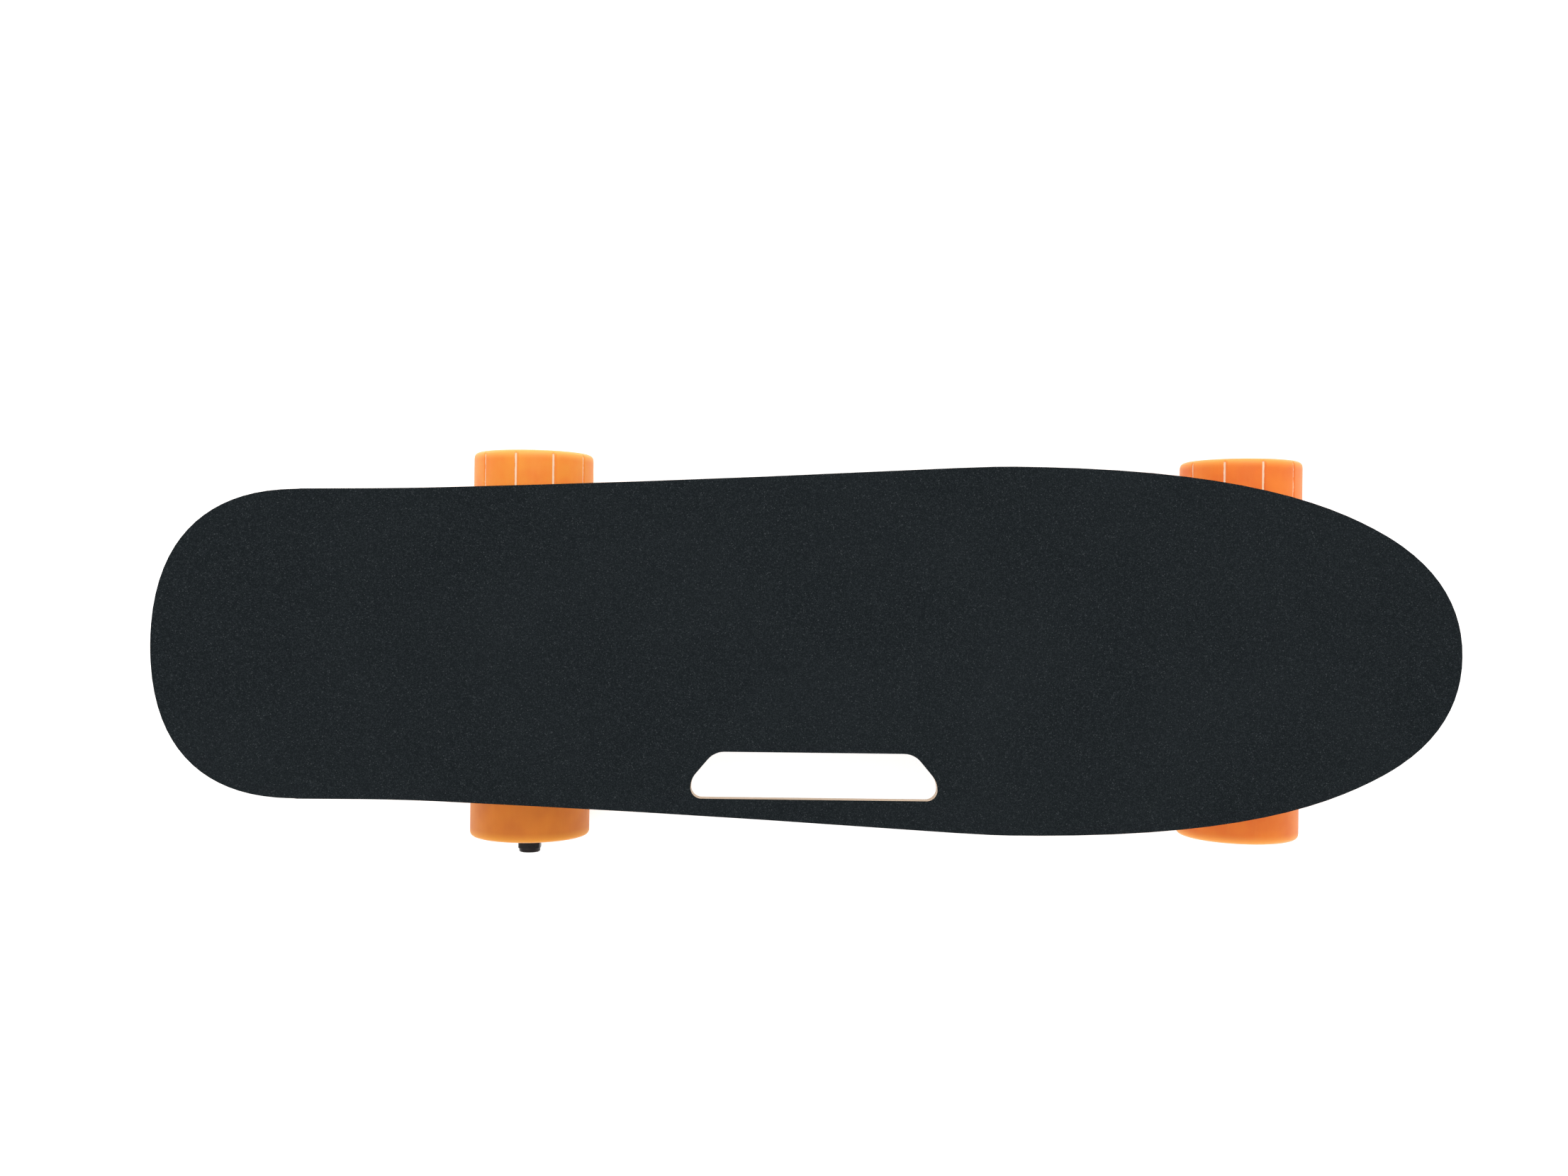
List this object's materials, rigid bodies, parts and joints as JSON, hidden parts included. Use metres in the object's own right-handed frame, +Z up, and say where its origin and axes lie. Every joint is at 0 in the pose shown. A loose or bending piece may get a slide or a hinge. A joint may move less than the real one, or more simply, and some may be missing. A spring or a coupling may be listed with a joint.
{
  "type": "electric skateboard",
  "caption": "Short kicktail electric skateboard with a carrying slot, sprung steering trucks, orange wheels, one of them a hub motor, and a battery box under the deck.",
  "frame": {"origin": "on the standing surface, at the middle of the deck's length and on its centreline", "axes": "+X towards the nose, +Y to the rider's left, +Z up"},
  "size_m": [0.705, 0.2365, 0.1336],
  "materials": {
    "maple_plies": "seven thin maple plies, satin",
    "grip_tape": "black grit sheet",
    "riser_rubber": "hard black rubber",
    "black_steel": "black oxide steel",
    "zinc_steel": "zinc plated steel",
    "truck_aluminium": "black painted cast aluminium",
    "pivot_urethane": "black urethane",
    "bushing_urethane": "orange urethane",
    "axle_steel": "turned steel",
    "bearing_steel": "ground steel",
    "laminations": "stacked laminations, varnished",
    "enamelled_copper": "enamelled copper wire",
    "orange_urethane": "cast orange polyurethane",
    "core_plastic": "glass-filled nylon",
    "rotor_steel": "black coated steel ring",
    "magnet_nickel": "nickel plated magnets",
    "motor_aluminium": "black anodised aluminium",
    "cable_rubber": "black silicone jacket",
    "box_plastic": "textured black ABS",
    "gasket_foam": "closed cell foam",
    "insert_brass": "knurled brass",
    "cell_wrap": "shrink wrap",
    "holder_plastic": "black ABS",
    "nickel_strip": "nickel strip",
    "circuit_board": "green solder mask",
    "component_plastic": "black moulded bodies",
    "button_plastic": "gloss black plastic",
    "lens_plastic": "milky clear lens",
    "cap_rubber": "soft black rubber"
  },
  "bodies": {
    "board": {"deck_board": "maple_plies", "grip_tape": "grip_tape", "riser_pads": "riser_rubber", "truck_bolts": "black_steel", "truck_bolt_nuts": "zinc_steel", "truck_baseplates": "truck_aluminium", "pivot_cups": "pivot_urethane", "kingpins": "zinc_steel", "kingpin_nuts": "zinc_steel", "bushing_washers": "zinc_steel", "front_boardside_bushing": "bushing_urethane", "front_roadside_bushing": "bushing_urethane", "rear_boardside_bushing": "bushing_urethane", "rear_roadside_bushing": "bushing_urethane", "motor_cable": "cable_rubber", "cable_gland": "box_plastic", "enclosure_shell": "box_plastic", "enclosure_gasket": "gasket_foam", "enclosure_screws": "black_steel", "enclosure_inserts": "insert_brass", "battery_cells": "cell_wrap", "cell_holders": "holder_plastic", "cell_links": "nickel_strip", "battery_management_board": "circuit_board", "controller_heatsink": "motor_aluminium", "controller_board": "circuit_board", "controller_components": "component_plastic", "charge_socket": "box_plastic", "power_switch": "component_plastic", "battery_gauge_lens": "lens_plastic"},
    "power_button": {"power_button": "button_plastic"},
    "charge_port_cap": {"charge_port_cap": "cap_rubber"},
    "front_hanger": {"front_hanger": "truck_aluminium", "front_axle": "axle_steel", "front_axle_nuts": "black_steel", "front_axle_spacers": "zinc_steel", "front_inner_races": "bearing_steel"},
    "front_left_wheel": {"front_left_tyre": "orange_urethane", "front_left_core": "core_plastic", "front_left_outer_races": "bearing_steel"},
    "front_right_wheel": {"front_right_tyre": "orange_urethane", "front_right_core": "core_plastic", "front_right_outer_races": "bearing_steel"},
    "rear_hanger": {"rear_hanger": "truck_aluminium", "rear_axle": "axle_steel", "rear_axle_nuts": "black_steel", "rear_axle_spacers": "zinc_steel", "rear_inner_races": "bearing_steel", "motor_shaft": "axle_steel", "motor_stator": "laminations", "motor_windings": "enamelled_copper"},
    "rear_left_wheel": {"rear_left_tyre": "orange_urethane", "rear_left_core": "core_plastic", "rear_left_outer_races": "bearing_steel"},
    "motor_wheel": {"motor_tyre": "orange_urethane", "motor_rotor": "rotor_steel", "motor_magnets": "magnet_nickel", "motor_covers": "motor_aluminium", "motor_outer_races": "bearing_steel", "motor_cover_screws": "black_steel"}
  },
  "joints": [
    {"name": "front_steer", "type": "hinge", "parent": "board", "child": "front_hanger", "pos_m": [0.2705, 0, -0.0295], "axis": [0.7433, 0, 0.669], "range_deg": [-14, 14], "stiffness_Nm_per_rad": 40, "deforming": ["front_boardside_bushing", "front_roadside_bushing"]},
    {"name": "rear_steer", "type": "hinge", "parent": "board", "child": "rear_hanger", "pos_m": [-0.1845, 0, -0.0295], "axis": [-0.7433, 0, 0.669], "range_deg": [-14, 14], "stiffness_Nm_per_rad": 40, "deforming": ["rear_boardside_bushing", "rear_roadside_bushing", "motor_cable"]},
    {"name": "front_left_spin", "type": "hinge", "parent": "front_hanger", "child": "front_left_wheel", "pos_m": [0.2535, 0.0885, -0.0675], "axis": [0, 1, 0], "continuous": true},
    {"name": "front_right_spin", "type": "hinge", "parent": "front_hanger", "child": "front_right_wheel", "pos_m": [0.2535, -0.0885, -0.0675], "axis": [0, 1, 0], "continuous": true},
    {"name": "rear_left_spin", "type": "hinge", "parent": "rear_hanger", "child": "rear_left_wheel", "pos_m": [-0.1675, 0.0885, -0.0675], "axis": [0, 1, 0], "continuous": true},
    {"name": "motor_spin", "type": "hinge", "parent": "rear_hanger", "child": "motor_wheel", "pos_m": [-0.1675, -0.09, -0.0675], "axis": [0, 1, 0], "continuous": true},
    {"name": "power_press", "type": "slide", "parent": "board", "child": "power_button", "axis": [0, -1, 0], "range_m": [0, 0.0012], "stiffness_N_per_m": 500},
    {"name": "cap_swing", "type": "hinge", "parent": "board", "child": "charge_port_cap", "pos_m": [-0.052, 0.0478, -0.0205], "axis": [1, 0, 0], "range_deg": [0, 110], "stiffness_Nm_per_rad": 0.002}
  ]
}
